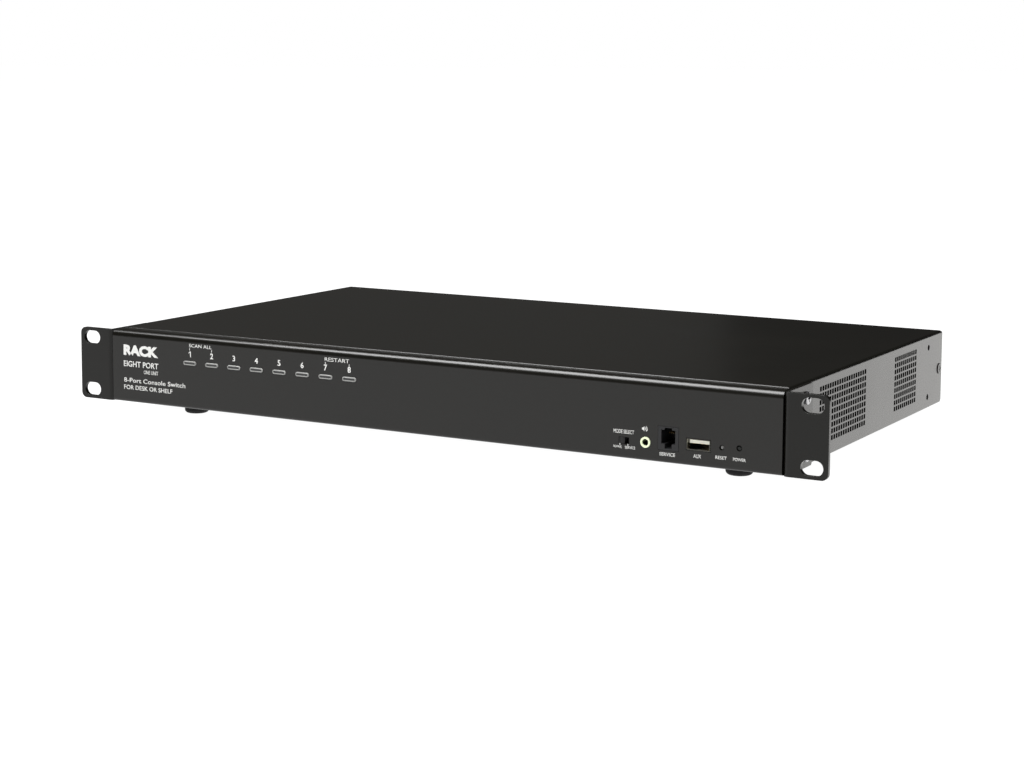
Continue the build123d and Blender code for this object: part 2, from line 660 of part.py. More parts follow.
def supply_heat_sink():
    return block((-146.0, -143.0), (140.0, 200.0), (9.0, 34.0))


def ribbon_cable():
    """Flat cable along the floor from the front port board to the main board."""
    run = block((150.0, 175.0), (44.0, 118.0), (2.0, 2.9))
    rise_front = block((150.0, 175.0), (42.3, 44.0), (2.0, PORT_BOARD_TOP))
    rise_rear = block((150.0, 175.0), (118.0, 119.7), (2.0, MAIN_BOARD_TOP))
    return run + rise_front + rise_rear


def button_cable():
    """Flat cable from the button board back to the main board."""
    drop = block((-60.0, -40.0), (11.6, 12.6), (2.0, 24.0))
    run = block((-60.0, -40.0), (12.6, 118.0), (2.0, 2.9))
    return drop + run + block((-60.0, -40.0), (118.0, 119.7), (2.0, MAIN_BOARD_TOP))


# ---- write every node ---------------------------------------------------------------------------------
def save_case():
    save("front_panel", front_panel())
    save("top_cover", top_cover())
    save("base_pan", base_pan())
    save("rear_panel", rear_panel())
    ear = rack_ear()
    save("rack_ear_right", ear)
    save("rack_ear_left", mirrored(ear))
    save("ear_screws", *ear_screws())
    save("cover_screws", *cover_screws())
    save("rubber_feet", *[foot(*place) for place in foot_places()])
    save("foot_screws", *[foot_screw(*place) for place in foot_places()])


def save_front():
    for number in range(1, BUTTON_COUNT + 1):
        save(f"port_button_{number}", port_button(number))
    save("button_guide", button_guide())
    save("button_board", button_board())
    save("tact_switches", *tact_switches())
    save("port_leds", *port_leds())
    save("reset_button", reset_button())
    save("power_lamp", power_lamp())
    save("lamp_holder", lamp_holder())
    save("mode_switch_body", mode_switch_body())
    save("mode_switch_knob", mode_switch_knob())
    collar, body = audio_socket(AUDIO_X, AUDIO_Z, -0.5, PORT_BOARD_TOP)
    save("audio_collar", collar)
    save("audio_body", body)
    save("modular_jack", modular_jack())
    save("modular_contacts", *modular_contacts())
    save("type_a_shell", type_a_shell(TYPE_A_X, TYPE_A_Z, 0.0, -1))
    save("type_a_moulding", type_a_tongue(TYPE_A_X, TYPE_A_Z, 0.0, -1), type_a_base())
    save("type_a_contacts", *type_a_contacts(TYPE_A_X, TYPE_A_Z, 0.0, -1))
    save("front_port_board", front_port_board())


def save_rear():
    centres = [computer_port_x(n) for n in range(1, COMPUTER_PORTS + 1)]
    video_places = [x + VIDEO_OFFSET for x in centres] + [CONSOLE_VIDEO_X]
    save("video_shells", *[video_shell(x) for x in video_places])
    save("video_tongues", *[video_tongue(x) for x in video_places])
    save("type_b_shells", *[type_b_shell(x + TYPE_B_OFFSET) for x in centres])
    save("type_b_tongues", *[type_b_tongue(x + TYPE_B_OFFSET) for x in centres])
    save("console_type_a_shells", *console_type_a_shells())
    levels = [MAIN_BOARD_TOP + 7.8 + step for step in (-4.2, 4.2)]
    save("console_type_a_tongues", *[type_a_tongue(CONSOLE_TYPE_A_X, z, REAR + 0.6, 1) for z in levels])
    sockets = [audio_socket(x, MAIN_BOARD_TOP + 4.0, REAR + 0.5, MAIN_BOARD_TOP) for x in CONSOLE_AUDIO_X]
    save("console_audio_sockets", *[piece for pair in sockets for piece in pair])
    save("power_inlet", power_inlet())
    save("inlet_pins", *inlet_pins())
    save("inlet_screws", *inlet_screws())
    save("power_switch_frame", power_switch_frame())
    save("power_rocker", power_rocker())


def save_inside():
    save("main_board", main_board())
    save("board_posts", *board_posts(), *supply_posts())
    save("board_screws", *board_screws())
    save("board_chips", *board_chips())
    save("heat_sinks", *[heat_sink(-70.0 + column * 80.0) for column in range(4)])
    save("board_capacitors", *board_capacitors())
    save("supply_board", supply_board())
    save("supply_transformer", supply_transformer())
    save("transformer_winding", transformer_winding())
    save("supply_capacitors", *supply_capacitors())
    save("supply_heat_sink", supply_heat_sink())
    save("flat_cables", ribbon_cable(), button_cable())


os.makedirs("parts", exist_ok=True)
save_case()
save_front()
save_rear()
save_inside()
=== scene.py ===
import json
import math

import bmesh
import bpy
from bpy.props import FloatProperty, FloatVectorProperty, IntProperty, PointerProperty
from mathutils import Matrix, Vector


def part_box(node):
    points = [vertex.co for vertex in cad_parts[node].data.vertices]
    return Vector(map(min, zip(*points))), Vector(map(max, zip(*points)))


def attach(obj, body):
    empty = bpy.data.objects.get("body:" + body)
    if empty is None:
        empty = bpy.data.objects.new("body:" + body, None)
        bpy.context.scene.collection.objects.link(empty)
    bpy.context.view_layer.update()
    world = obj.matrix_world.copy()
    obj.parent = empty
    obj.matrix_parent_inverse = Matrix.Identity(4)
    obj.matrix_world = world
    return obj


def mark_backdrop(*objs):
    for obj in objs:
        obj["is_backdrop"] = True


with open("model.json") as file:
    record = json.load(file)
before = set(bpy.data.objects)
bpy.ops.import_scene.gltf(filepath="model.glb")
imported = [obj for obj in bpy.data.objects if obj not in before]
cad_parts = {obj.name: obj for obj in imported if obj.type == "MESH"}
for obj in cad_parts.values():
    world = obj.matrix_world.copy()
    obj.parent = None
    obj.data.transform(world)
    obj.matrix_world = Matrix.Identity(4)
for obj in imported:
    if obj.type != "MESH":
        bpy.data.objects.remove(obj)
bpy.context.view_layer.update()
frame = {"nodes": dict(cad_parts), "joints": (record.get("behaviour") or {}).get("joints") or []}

bl_info = {
    "name": "Rack Console Switch",
    "version": (1, 0, 0),
    "blender": (4, 5, 0),
    "location": "3D View > Sidebar > Console Switch",
    "description": "Finishes, prints, small fittings and a studio for a one-unit rack console switch",
    "category": "Object",
}

MM = 0.001
PORTS = range(1, 9)

# Printed ink: how thick it is, and how far it stands off its panel.
INK_DEPTH = 0.06 * MM
INK_GAP = 0.01 * MM

# The rear ports: one type B shell and its tongue across, and the way from its middle to the video socket's.
TYPE_B_SHELL = 12 * MM
TYPE_B_TONGUE = 5.6 * MM
VIDEO_OFFSET = 15.5 * MM

# The stage: how far its floor and its dome reach, how high a card lies, and the faint light all around.
FLOOR_REACH = 20.0
DOME_RADIUS = 18.0
CARD_LIFT = 0.5 * MM
SKY_LIGHT = 0.025

# Places that everything else is worked out from, read from the frame.
FRONT_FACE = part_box("front_panel")[0].y
REAR_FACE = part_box("rear_panel")[1].y
CASE_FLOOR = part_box("base_pan")[0].z


def middle(node):
    """The centre of a CAD node's box."""
    low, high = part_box(node)
    return (low + high) / 2


# ---- mesh helpers -------------------------------------------------------------------------------------
def piece(name, mesh, body, material=None):
    """A finished object at the origin that rides on a body."""
    mesh.name = name
    thing = bpy.data.objects.new(name, mesh)
    bpy.context.scene.collection.objects.link(thing)
    if material:
        mesh.materials.clear()
        mesh.materials.append(material)
    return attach(thing, body)


def mesh_from(shape):
    """Turn a bmesh into a mesh, with its doubles merged and its faces pointing out."""
    bmesh.ops.remove_doubles(shape, verts=shape.verts, dist=1e-7)
    bmesh.ops.recalc_face_normals(shape, faces=shape.faces)
    mesh = bpy.data.meshes.new("shape")
    shape.to_mesh(mesh)
    shape.free()
    return mesh


def facing(front=True):
    """Turns a drawing in the XY plane to stand on the front or the rear face and be read from outside."""
    if front:
        return Matrix.Rotation(math.radians(90), 4, "X")
    return Matrix.Rotation(math.radians(180), 4, "Z") @ Matrix.Rotation(math.radians(90), 4, "X")


def prism(shape, outline, thickness, place):
    """Add a flat plate with this outline, thick towards the reader, to a bmesh."""
    base = [shape.verts.new(place @ Vector((x, y, 0))) for x, y in outline]
    lid = [shape.verts.new(place @ Vector((x, y, thickness))) for x, y in outline]
    shape.faces.new(list(reversed(base)))
    shape.faces.new(lid)
    count = len(outline)
    for index in range(count):
        after = (index + 1) % count
        shape.faces.new((base[index], base[after], lid[after], lid[index]))


def bar(shape, x, y, width, height, thickness, place):
    """Add a plain rectangular plate about a point."""
    left, right = x - width / 2, x + width / 2
    low, high = y - height / 2, y + height / 2
    prism(shape, [(left, low), (right, low), (right, high), (left, high)], thickness, place)


def obround(length, height, steps=10):
    """Outline of a bar with round ends."""
    radius = height / 2
    reach = length / 2 - radius
    turns = [math.pi * (i / steps - 0.5) for i in range(steps + 1)]
    right = [(reach + radius * math.cos(t), radius * math.sin(t)) for t in turns]
    return right + [(-x, -y) for x, y in right]


def arc_band(inner, outer, start, end, steps=8):
    """Outline of a curved stripe between two angles, in degrees."""
    turns = [math.radians(start + (end - start) * i / steps) for i in range(steps + 1)]
    far = [(outer * math.cos(t), outer * math.sin(t)) for t in turns]
    return far + [(inner * math.cos(t), inner * math.sin(t)) for t in reversed(turns)]


def lettering(shape, text, left, bottom, height, place, width=None, align="left", weight=0.0):
    """Add printed letters to a bmesh: their height is exact, and their width too where it is given."""
    curve = bpy.data.curves.new("letters", "FONT")
    curve.body = text
    curve.offset = weight
    curve.resolution_u = 3
    curve.extrude = 0.5
    maker = bpy.data.objects.new("letters", curve)
    bpy.context.scene.collection.objects.link(maker)
    bpy.context.view_layer.update()
    mesh = bpy.data.meshes.new_from_object(maker.evaluated_get(bpy.context.evaluated_depsgraph_get()))
    bpy.data.objects.remove(maker)
    xs = [v.co.x for v in mesh.vertices]
    ys = [v.co.y for v in mesh.vertices]
    tall = height / (max(ys) - min(ys))
    wide = width / (max(xs) - min(xs)) if width else tall
    shift = {"left": min(xs), "centre": (min(xs) + max(xs)) / 2}[align]
    fit = Matrix.Translation((left, bottom, 0)) @ Matrix.Diagonal((wide, tall, INK_DEPTH, 1))
    mesh.transform(place @ fit @ Matrix.Translation((-shift, -min(ys), 0.5)))
    shape.from_mesh(mesh)
    bpy.data.meshes.remove(mesh)


def front_sheet():
    """Place of the front print: drawn in x and height over the case floor, just proud of the panel."""
    return Matrix.Translation((0, FRONT_FACE - INK_GAP, CASE_FLOOR)) @ facing(True)


def rear_sheet():
    """Place of the rear print. Seen from behind, so x runs the other way."""
    return Matrix.Translation((0, REAR_FACE + INK_GAP, CASE_FLOOR)) @ facing(False)


# ---- material helpers ---------------------------------------------------------------------------------
class Finish:
    """A procedural material, with short calls for the patterns that the finishes share."""

    def __init__(self, name, **sockets):
        self.material = bpy.data.materials.new(name)
        self.material.use_nodes = True
        self.tree = self.material.node_tree
        self.shader = self.tree.nodes["Principled BSDF"]
        self.place = self.tree.nodes.new("ShaderNodeTexCoord").outputs["Object"]
        for socket, value in sockets.items():
            self.shader.inputs[socket.replace("_", " ")].default_value = value

    def node(self, kind, **inputs):
        made = self.tree.nodes.new(kind)
        for name, value in inputs.items():
            socket = made.inputs[name.replace("_", " ")]
            if isinstance(value, bpy.types.NodeSocket):
                self.tree.links.new(value, socket)
            else:
                socket.default_value = value
        return made

    def spread(self, size, stretch=(1, 1, 1)):
        """Object coordinates scaled so that one unit is this many metres, longer along a stretched axis."""
        scale = tuple(1 / (size * s) for s in stretch)
        return self.node("ShaderNodeMapping", Vector=self.place, Scale=scale).outputs["Vector"]

    def noise(self, size, detail=2.0, stretch=(1, 1, 1), rough=0.5):
        """Cloudy pattern from 0 to 1."""
        where = self.spread(size, stretch)
        made = self.node("ShaderNodeTexNoise", Vector=where, Scale=1.0, Detail=detail, Roughness=rough)
        return made.outputs[0]

    def cells(self, size):
        """Distance from the middle of scattered cells."""
        return self.node("ShaderNodeTexVoronoi", Vector=self.spread(size), Scale=1.0).outputs["Distance"]

    def waves(self, size, axis="X", distortion=0.0):
        """Even stripes across an axis."""
        made = self.node("ShaderNodeTexWave", Vector=self.spread(size), Scale=0.5, Distortion=distortion)
        made.bands_direction = axis
        return made.outputs["Fac"]

    def normal(self):
        """The way that the surface faces."""
        return self.tree.nodes.new("ShaderNodeNewGeometry").outputs["Normal"]

    def part(self, vector, axis):
        """One axis of a vector."""
        return self.node("ShaderNodeSeparateXYZ", Vector=vector).outputs[axis]

    def ramp(self, factor, low, high, start=0.0, end=1.0):
        """A number that runs from low to high as the factor runs from start to end."""
        made = self.node("ShaderNodeMapRange", Value=factor)
        for name, value in (("From Min", start), ("From Max", end), ("To Min", low), ("To Max", high)):
            made.inputs[name].default_value = value
        return made.outputs["Result"]

    def mix(self, factor, first, second):
        """A colour between two colours or patterns."""
        made = self.tree.nodes.new("ShaderNodeMix")
        made.data_type = "RGBA"
        for index, value in ((0, factor), (6, first), (7, second)):
            if isinstance(value, bpy.types.NodeSocket):
                self.tree.links.new(value, made.inputs[index])
            else:
                made.inputs[index].default_value = value if index == 0 else (*value, 1.0)
        return made.outputs[2]

    def paint(self, colour):
        """Use a pattern as the base colour."""
        self.tree.links.new(colour, self.shader.inputs["Base Color"])

    def colour(self, factor, first, second):
        """Base colour that runs between two colours."""
        self.paint(self.mix(factor, first, second))

    def roughness(self, factor, low, high):
        """Roughness that runs between two values."""
        self.tree.links.new(self.ramp(factor, low, high), self.shader.inputs["Roughness"])

    def relief(self, factor, depth, strength=1.0, rounded=0.0):
        """Bump of this depth in metres, over corners that look rounded by a radius."""
        bump = self.node("ShaderNodeBump", Height=factor, Distance=depth, Strength=strength)
        if rounded:
            corner = self.node("ShaderNodeBevel", Radius=rounded)
            self.tree.links.new(corner.outputs[0], bump.inputs["Normal"])
        self.tree.links.new(bump.outputs[0], self.shader.inputs["Normal"])


def shade(colour, factor):
    """A colour made darker or lighter."""
    return tuple(min(1.0, channel * factor) for channel in colour)


def powder_coat(name, colour, rough, level, rounded=0.0):
    """Satin powder coat: fine orange peel, faint clouding in tone and gloss."""
    made = Finish(name, Specular_IOR_Level=level)
    grain = made.noise(0.9 * MM, detail=3.0)
    cloud = made.noise(70 * MM, detail=4.0, rough=0.6)
    speck = made.ramp(made.noise(0.35 * MM, detail=1.0), 0.0, 1.0, 0.56, 0.72)
    made.colour(made.ramp(cloud, 0.0, 1.0, 0.3, 0.7), shade(colour, 0.88), shade(colour, 1.12))
    made.roughness(cloud, rough - 0.05, rough + 0.05)
    made.relief(made.mix(0.35, grain, speck), 0.012 * MM, 0.5, rounded)
    return made.material


def faded(made, near, far, face, depth):
    """Painted shade deeper in a hollow: a colour that turns from near to a darker far over this depth
    behind a face, along Y.
    """
    inward = made.ramp(made.part(made.place, "Y"), 0.0, 1.0, face, face + depth)
    blotch = made.noise(2 * MM)
    return made.mix(inward, made.mix(blotch, shade(near, 0.94), shade(near, 1.06)), far)


def socket_collar(name, colour, face, depth):
    """Bright moulded collar, shadowed inside its bore."""
    made = Finish(name, Specular_IOR_Level=0.5, Coat_Weight=0.3)
    # Painted shade: the collar's colour darkens to a tenth over the bore's depth.
    made.paint(faded(made, colour, shade(colour, 0.10), face, depth))
    made.roughness(made.noise(2 * MM), 0.3, 0.42)
    made.relief(made.noise(0.25 * MM), 0.008 * MM, 0.4)
    return made.material


def drawn_shell(name, colour, face, depth):
    """Drawn sheet metal, bright just inside its mouth, with painted shade on its forward-facing rim and
    deeper inside.
    """
    made = Finish(name, Metallic=1.0)
    # Painted shade: faces that look forward, such as the rim, turn dark, and the colour darkens with depth
    # inside.
    edge = made.ramp(made.part(made.normal(), "Y"), 1.0, 0.0, -0.9, -0.6)
    made.colour(edge, faded(made, colour, shade(colour, 0.05), face, depth), shade(colour, 0.12))
    marks = made.noise(0.15 * MM, detail=2.0, stretch=(1, 12, 1))
    made.roughness(marks, 0.10, 0.24)
    made.relief(marks, 0.004 * MM, 0.4)
    return made.material


def moulded(name, colour, rough=0.45, level=0.5, grain_size=0.25 * MM, depth=0.01 * MM, coat=0.0):
    """Injection-moulded plastic with a fine spark-eroded grain."""
    made = Finish(name, Specular_IOR_Level=level, Coat_Weight=coat)
    grain = made.noise(grain_size, detail=2.0)
    flow = made.noise(9 * MM, detail=2.0)
    made.colour(flow, shade(colour, 0.86), shade(colour, 1.14))
    made.roughness(flow, rough - 0.07, rough + 0.07)
    made.relief(grain, depth, 0.5)
    return made.material


def rubber(name, colour):
    """Matt rubber with a trace of dust."""
    made = Finish(name, Specular_IOR_Level=0.3)
    dust = made.noise(3 * MM, detail=5.0, rough=0.7)
    made.colour(made.ramp(dust, 0.0, 1.0, 0.45, 0.75), colour, shade(colour, 2.2))
    made.roughness(dust, 0.65, 0.85)
    made.relief(made.noise(0.5 * MM), 0.04 * MM, 0.5)
    return made.material


def plated(name, colour, rough, stretch=(1, 12, 1)):
    """Plated sheet metal with draw marks along one way."""
    made = Finish(name, Metallic=1.0)
    marks = made.noise(0.15 * MM, detail=2.0, stretch=stretch)
    cloud = made.noise(6 * MM, detail=3.0)
    made.colour(cloud, shade(colour, 0.85), shade(colour, 1.1))
    made.roughness(marks, rough - 0.08, rough + 0.12)
    made.relief(marks, 0.004 * MM, 0.4)
    return made.material


def circuit_board(name, colour):
    """Solder mask over copper tracks, with plated pads."""
    made = Finish(name, Specular_IOR_Level=0.6)
    tracks = made.ramp(made.waves(1.2 * MM, "X", 6.0), 0.0, 1.0, 0.45, 0.6)
    pads = made.ramp(made.cells(2.6 * MM), 1.0, 0.0, 0.12, 0.2)
    mask = made.mix(tracks, shade(colour, 0.7), shade(colour, 1.35))
    made.colour(pads, mask, (0.62, 0.58, 0.42))
    made.roughness(tracks, 0.28, 0.42)
    made.relief(tracks, 0.03 * MM, 0.6)
    return made.material


def ink(name, colour):
    """Screen-printed ink with slightly uneven cover."""
    made = Finish(name, Specular_IOR_Level=0.2)
    cover = made.noise(0.4 * MM, detail=3.0)
    made.colour(cover, shade(colour, 0.9), shade(colour, 1.06))
    made.roughness(cover, 0.5, 0.65)
    made.relief(cover, 0.01 * MM, 0.4)
    return made.material


def milky_plastic(name, colour):
    """Hazy pale key plastic with softly rounded edges."""
    made = Finish(name, Specular_IOR_Level=0.5, Coat_Weight=0.2)
    haze = made.noise(1.6 * MM, detail=2.0)
    made.colour(haze, shade(colour, 0.85), shade(colour, 1.15))
    made.roughness(haze, 0.3, 0.42)
    made.relief(made.noise(0.2 * MM), 0.006 * MM, 0.4, 0.25 * MM)
    return made.material


def lamp_lens(name, colour):
    """Dark lens of an unlit lamp, with small facets."""
    made = Finish(name, Specular_IOR_Level=0.25, Transmission_Weight=0.25)
    ridges = made.cells(0.35 * MM)
    made.colour(ridges, shade(colour, 0.7), shade(colour, 1.5))
    made.roughness(ridges, 0.12, 0.25)
    made.relief(ridges, 0.02 * MM, 0.5)
    return made.material


def ribbed(name, colour, size, axis, depth=0.2 * MM, rough=0.5, metallic=0.0):
    """Evenly ribbed surface with painted shade in its grooves, as on ribbon cable, wound tape and extruded
    fins.
    """
    made = Finish(name, Metallic=metallic)
    ribs = made.waves(size, axis)
    # Painted shade: the colour darkens where the ribs dip.
    made.colour(ribs, shade(colour, 0.6), colour)
    made.roughness(made.noise(2 * MM), rough - 0.06, rough + 0.06)
    made.relief(ribs, depth, 0.5)
    return made.material


def capacitor_sleeve(name, colour):
    """Shrink sleeve with a bare metal crown."""
    made = Finish(name, Specular_IOR_Level=0.5)
    crown = made.ramp(made.part(made.normal(), "Z"), 0.0, 1.0, 0.8, 0.9)
    sleeve = made.mix(made.noise(4 * MM), shade(colour, 0.8), shade(colour, 1.3))
    made.colour(crown, sleeve, (0.62, 0.62, 0.63))
    made.roughness(made.noise(1 * MM), 0.25, 0.4)
    made.relief(made.noise(0.4 * MM), 0.01 * MM, 0.4)
    return made.material


# ---- settings -----------------------------------------------------------------------------------------
def colour_property(name, text, default):
    return FloatVectorProperty(
        name=name, description=text, subtype="COLOR", size=3, min=0, max=1, default=default,
    )


def length_property(name, text, default):
    return FloatProperty(name=name, description=text, unit="LENGTH", min=0, precision=5, default=default)


def angle_property(name, text, degrees):
    return FloatProperty(name=name, description=text, subtype="ANGLE", default=math.radians(degrees))


def share_property(name, text, default):
    return FloatProperty(name=name, description=text, min=0, max=1, default=default)


class FinishSettings(bpy.types.PropertyGroup):
    """Colours of the large and the bright pieces"""
    case: colour_property("Case", "Powder coat of the panels and the cover", (0.0044, 0.0040, 0.0029))
    ear: colour_property("Ears", "Powder coat of the rack ears", (0.0038, 0.0035, 0.0026))
    key: colour_property("Keys", "Milky plastic of the push buttons", (0.27, 0.27, 0.26))
    collar: colour_property("Audio collar", "Plastic of the audio sockets", (0.72, 0.80, 0.54))
    board: colour_property("Board", "Solder mask of the circuit boards", (0.02, 0.10, 0.045))
    tongue: colour_property("Tongues", "Plastic inside the flat metal sockets", (0.86, 0.85, 0.76))
    roughness: share_property("Roughness", "Roughness of the powder coat", 0.25)


class PrintSettings(bpy.types.PropertyGroup):
    """Colour, height and place of the print"""
    ink: colour_property("Ink", "Colour of the printed marks", (0.66, 0.66, 0.64))
    digit: length_property("Digits", "Height of the port numbers", 3.4 * MM)
    lift: length_property("Lift", "From a button's middle to the foot of its number", 3.7 * MM)
    margin: length_property("Margin", "From the panel's end to the product print", 8.4 * MM)


class BoardSettings(bpy.types.PropertyGroup):
    """Layout of the small parts on the main board"""
    columns: IntProperty(name="Columns", description="Places for small parts across the board", default=84)
    rows: IntProperty(name="Rows", description="Places for small parts along the board", default=26)
    fill: share_property("Fill", "Share of the places that hold a part", 0.3)
    seed: IntProperty(name="Seed", description="Seed of the parts' layout", default=8)


class StageSettings(bpy.types.PropertyGroup):
    """The camera and the lights"""
    camera: FloatVectorProperty(
        name="Camera", description="Place of the camera from the foot of the front face",
        subtype="TRANSLATION", unit="LENGTH", default=(0.5994, -0.9618, 0.2161),
    )
    heading: angle_property("Heading", "Turn of the camera from straight ahead", 29.29)
    tilt: angle_property("Tilt", "How far the camera looks down", 6.56)
    roll: angle_property("Roll", "Turn of the camera about its own axis", 0.33)
    lens: FloatProperty(
        name="Lens", description="Focal length on a 36 mm sensor", unit="CAMERA", default=72.73,
    )
    shift: FloatProperty(
        name="Shift", description="Upward shift of the frame, as a share of its width", default=-0.1,
    )
    key: FloatProperty(
        name="Overhead", description="Power of the overhead light", unit="POWER", default=138.0,
    )
    side: FloatProperty(name="Side", description="Glow of the card to the right", min=0, default=1.9)
    rear: FloatProperty(name="Rear", description="Glow of the card far behind", min=0, default=0.066)


SETTINGS = {
    "switch_finish": FinishSettings,
    "switch_print": PrintSettings,
    "switch_boards": BoardSettings,
    "switch_stage": StageSettings,
}


# ---- finishes of the CAD nodes ------------------------------------------------------------------------
CASE_SHEETS = ["front_panel", "rear_panel", "base_pan", "top_cover"]
EARS = ["rack_ear_left", "rack_ear_right"]
BLACK_PLASTIC = [
    "tact_switches", "lamp_holder", "mode_switch_body", "audio_body", "video_tongues", "power_inlet",
    "power_switch_frame", "power_rocker", "board_chips", "type_b_tongues",
]
REAR_SHELLS = ["video_shells", "type_b_shells", "console_type_a_shells", "inlet_pins"]
HEAT_SINKS = ["heat_sinks", "supply_heat_sink"]
CAPACITORS = ["board_capacitors", "supply_capacitors"]


def node_materials(look):
    """Every material of the frame's own nodes, with the nodes that take it."""
    rough = look.roughness
    black = (0.014, 0.014, 0.0145)
    bright_nickel = (0.88, 0.86, 0.78)
    bore = 0.8 * MM
    keys = [f"port_button_{n}" for n in PORTS]
    boards = [n for n in frame["nodes"] if n.endswith("_board")]
    return [
        (powder_coat("case_coat", look.case, rough, 0.40), CASE_SHEETS),
        (powder_coat("ear_coat", look.ear, rough + 0.04, 0.30, 0.35 * MM), EARS),
        (powder_coat("screw_coat", look.case, rough, 0.40, 0.2 * MM), ["cover_screws"]),
        (plated("bright_zinc", (0.36, 0.36, 0.37), 0.36, (1, 1, 1)), ["ear_screws"]),
        (plated("black_zinc", (0.10, 0.10, 0.105), 0.38, (1, 1, 1)), ["inlet_screws"]),
        (plated("clear_zinc", (0.62, 0.63, 0.64), 0.3, (1, 1, 1)), ["foot_screws", "board_screws"]),
        (rubber("foot_rubber", (0.010, 0.010, 0.010)), ["rubber_feet"]),
        (milky_plastic("key_plastic", look.key), keys),
        (moulded("black_plastic", black), BLACK_PLASTIC),
        (moulded("charcoal_plastic", (0.011, 0.011, 0.012), 0.42, 0.4), ["modular_jack"]),
        (moulded("knob_plastic", (0.012, 0.012, 0.012), 0.4), ["mode_switch_knob"]),
        (moulded("plunger_plastic", (0.34, 0.34, 0.33), 0.4), ["reset_button"]),
        (moulded("guide_plastic", (0.70, 0.70, 0.68), 0.5), ["button_guide"]),
        (socket_collar("collar_plastic", look.collar, FRONT_FACE, bore), ["audio_collar"]),
        (socket_collar("rear_collar_plastic", look.collar, REAR_FACE, -bore), ["console_audio_sockets"]),
        (moulded("tongue_plastic", look.tongue, 0.4), ["type_a_moulding", "console_type_a_tongues"]),
        (drawn_shell("socket_shell", bright_nickel, FRONT_FACE + 1.6 * MM, 2.6 * MM), ["type_a_shell"]),
        (plated("rear_shell", (0.74, 0.72, 0.66), 0.26), REAR_SHELLS),
        (plated("gold_flash", (0.85, 0.62, 0.24), 0.22), ["type_a_contacts"]),
        # Painted shade: the contacts deep in the jack get a darkened gold.
        (plated("shaded_gold", (0.20, 0.14, 0.06), 0.45), ["modular_contacts"]),
        (lamp_lens("lamp_lens", (0.004, 0.005, 0.004)), ["power_lamp", "port_leds"]),
        (circuit_board("solder_mask", look.board), boards),
        (plated("turned_brass", (0.78, 0.60, 0.30), 0.3), ["board_posts"]),
        (ribbed("bare_fins", (0.66, 0.67, 0.69), 0.8 * MM, "X", 0.03 * MM, 0.35, 1.0), HEAT_SINKS),
        (capacitor_sleeve("capacitor_sleeve", (0.02, 0.02, 0.05)), CAPACITORS),
        (moulded("ferrite", (0.045, 0.044, 0.046), 0.6, depth=0.03 * MM), ["supply_transformer"]),
        (ribbed("winding_tape", (0.78, 0.60, 0.10), 2.2 * MM, "Y"), ["transformer_winding"]),
        (ribbed("ribbon", (0.42, 0.42, 0.43), 1.27 * MM, "X"), ["flat_cables"]),
    ]


class SWITCH_OT_finishes(bpy.types.Operator):
    """Give every node of the frame its finish"""
    bl_idname = "switch.finishes"
    bl_label = "Finishes"

    def execute(self, context):
        bare = set(frame["nodes"])
        for material, nodes in node_materials(context.scene.switch_finish):
            for name in nodes:
                mesh = frame["nodes"][name].data
                mesh.materials.clear()
                mesh.materials.append(material)
                bare.discard(name)
        if bare:
            raise RuntimeError(f"no finish for {sorted(bare)}")
        return {"FINISHED"}


# ---- front print --------------------------------------------------------------------------------------
# Lines of the product print: text, indent, foot over the case floor, height and width in mm, and weight.
PRODUCT_LINES = [
    ("RACK", 0, 28.4, 6.5, 26.3, 0.06),
    ("EIGHT PORT", 0, 21.6, 3.5, 26.3, 0.012),
    ("ONE UNIT", 15.2, 17.9, 2.3, 11.0, 0.0),
    ("8-Port Console Switch", 0, 12.1, 2.7, 46.4, 0.006),
    ("FOR DESK OR SHELF", 0, 7.8, 2.6, 36.7, 0.006),
]


def product_print(shape, marks, place):
    """A block of plain words at the left end of the panel."""
    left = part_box("front_panel")[0].x + marks.margin
    for text, indent, foot, height, width, weight in PRODUCT_LINES:
        lettering(shape, text, left + indent * MM, foot * MM, height * MM, place, width * MM, weight=weight)


def numeral(shape, number, x, foot, marks, place):
    """A port number. The one is drawn as a stem with a flag."""
    if number != 1:
        lettering(shape, str(number), x, foot, marks.digit, place, align="centre", weight=0.02)
        return
    stem = marks.digit * 0.17
    bar(shape, x + stem, foot + marks.digit / 2, stem, marks.digit, INK_DEPTH, place)
    edge = x + stem / 2
    tip = edge - 2 * stem
    top = foot + marks.digit
    flag = [(tip, top - 1.5 * stem), (tip, top - 2.4 * stem), (edge, top - stem), (edge, top)]
    prism(shape, flag, INK_DEPTH, place)


def port_numbers(shape, marks, place):
    """A number over each push button."""
    for number in PORTS:
        at = middle(f"port_button_{number}")
        numeral(shape, number, at.x, at.z - CASE_FLOOR + marks.lift, marks, place)


def pair_print(shape, place, first, text, low, height):
    """A word over two neighbouring buttons, with a tick down to each number."""
    ends = [middle(f"port_button_{n}").x for n in (first, first + 1)]
    gap = 0.5 * MM
    width = ends[1] - ends[0] + gap
    lettering(shape, text, ends[0] - gap, low, height, place, width=width)
    for x in ends:
        bar(shape, x, low - 1.25 * MM, 0.4 * MM, 1.3 * MM, INK_DEPTH, place)


def label(shape, text, node, offset, low, size, place):
    """A socket's name, in mm: its way off the socket's middle, its foot over the case floor, its size."""
    width, height = size
    x = middle(node).x + offset * MM
    lettering(shape, text, x, low * MM, height * MM, place, width * MM, "centre", 0.005)


def slide_switch_print(shape, place):
    """The slide switch's name, and its two settings with a tick each."""
    body = "mode_switch_body"
    label(shape, "MODE SELECT", body, -0.1, 13.2, (11.9, 2.1), place)
    label(shape, "NORMAL", body, -3.6, 5.4, (5.0, 1.3), place)
    label(shape, "SERVICE", body, 3.65, 5.3, (5.9, 1.5), place)
    reach = 2.35 * MM
    for side in (-1, 1):
        bar(shape, middle(body).x + side * reach, 7.4 * MM, 0.45 * MM, 0.8 * MM, INK_DEPTH, place)


